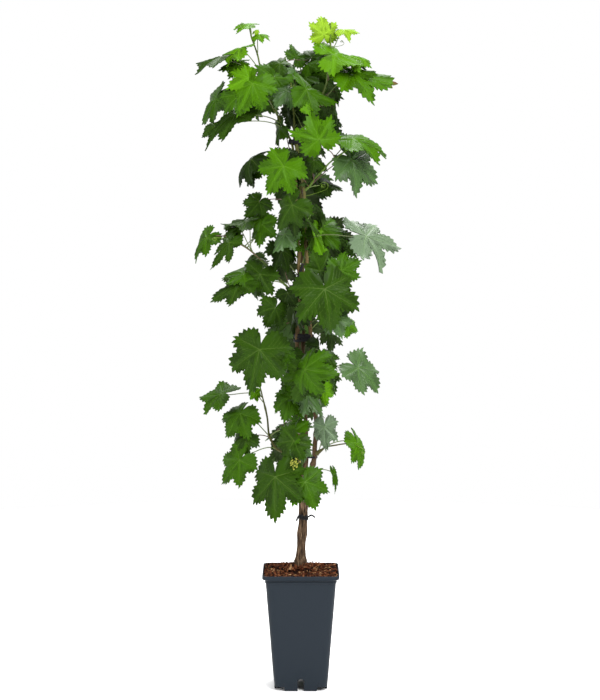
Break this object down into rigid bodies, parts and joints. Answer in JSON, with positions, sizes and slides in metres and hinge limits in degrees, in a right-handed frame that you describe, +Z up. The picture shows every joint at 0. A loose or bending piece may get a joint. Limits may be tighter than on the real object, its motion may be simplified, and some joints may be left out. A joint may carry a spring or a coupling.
{
  "type": "potted grapevine",
  "caption": "Young grapevine in a tall square plastic pot: a short woody trunk, three slender upright canes, and an open column of toothed, lobed leaves on long stalks.",
  "frame": {"origin": "centre of the pot's underside, where it stands on the floor", "axes": "+Z up the plant, -Y towards the front, +X to the right seen from the front"},
  "size_m": [0.4076, 0.3111, 1.3095],
  "materials": {
    "pot_plastic": "moulded anthracite plastic, fine grained and faintly satin",
    "substrate": "loose reddish-brown bark and fibre, matte",
    "trunk_bark": "fissured grey-brown bark, matte",
    "cane_bark": "ribbed brown cane bark, turning green towards the tips",
    "green_shoot": "smooth green to reddish young shoot and leaf stalk",
    "foliage": "toothed lobed leaves, softly glossy above and paler below"
  },
  "bodies": {
    "root": {"cane_left": "cane_bark", "cane_middle": "cane_bark", "cane_right": "cane_bark", "leaves_back_crown": "foliage", "leaves_back_foot": "foliage", "leaves_back_heart": "foliage", "leaves_back_high": "foliage", "leaves_back_hip": "foliage", "leaves_back_left": "foliage", "leaves_back_neck": "foliage", "leaves_back_skirt": "foliage", "leaves_back_waist": "foliage", "leaves_broad_left": "foliage", "leaves_broad_middle": "foliage", "leaves_broad_right": "foliage", "leaves_crown_left": "foliage", "leaves_crown_middle": "foliage", "leaves_far_left": "foliage", "leaves_far_right": "foliage", "leaves_foot_left": "foliage", "leaves_foot_right": "foliage", "leaves_heart_left": "foliage", "leaves_heart_right": "foliage", "leaves_hip": "foliage", "leaves_inner_left": "foliage", "leaves_inner_right": "foliage", "leaves_left_bright": "foliage", "leaves_left_high": "foliage", "leaves_left_inner": "foliage", "leaves_left_lobed": "foliage", "leaves_long_left": "foliage", "leaves_low_right": "foliage", "leaves_middle_high": "foliage", "leaves_middle_left": "foliage", "leaves_middle_right": "foliage", "leaves_neck_right": "foliage", "leaves_outer_left": "foliage", "leaves_right_high": "foliage", "leaves_shoulder_right": "foliage", "leaves_skirt_inner": "foliage", "leaves_skirt_left": "foliage", "leaves_skirt_low": "foliage", "leaves_skirt_middle": "foliage", "leaves_skirt_outer": "foliage", "leaves_skirt_right": "foliage", "leaves_spread_left": "foliage", "leaves_tip_left": "foliage", "leaves_tip_right": "foliage", "leaves_top_left": "foliage", "leaves_top_right": "foliage", "leaves_upper_left": "foliage", "leaves_upper_right": "foliage", "leaves_waist": "foliage", "pot": "pot_plastic", "shoot_low_left": "green_shoot", "shoot_low_right": "green_shoot", "shoot_mid_left": "green_shoot", "shoot_upper_right": "green_shoot", "substrate": "substrate", "trunk": "trunk_bark"}
  },
  "joints": []
}
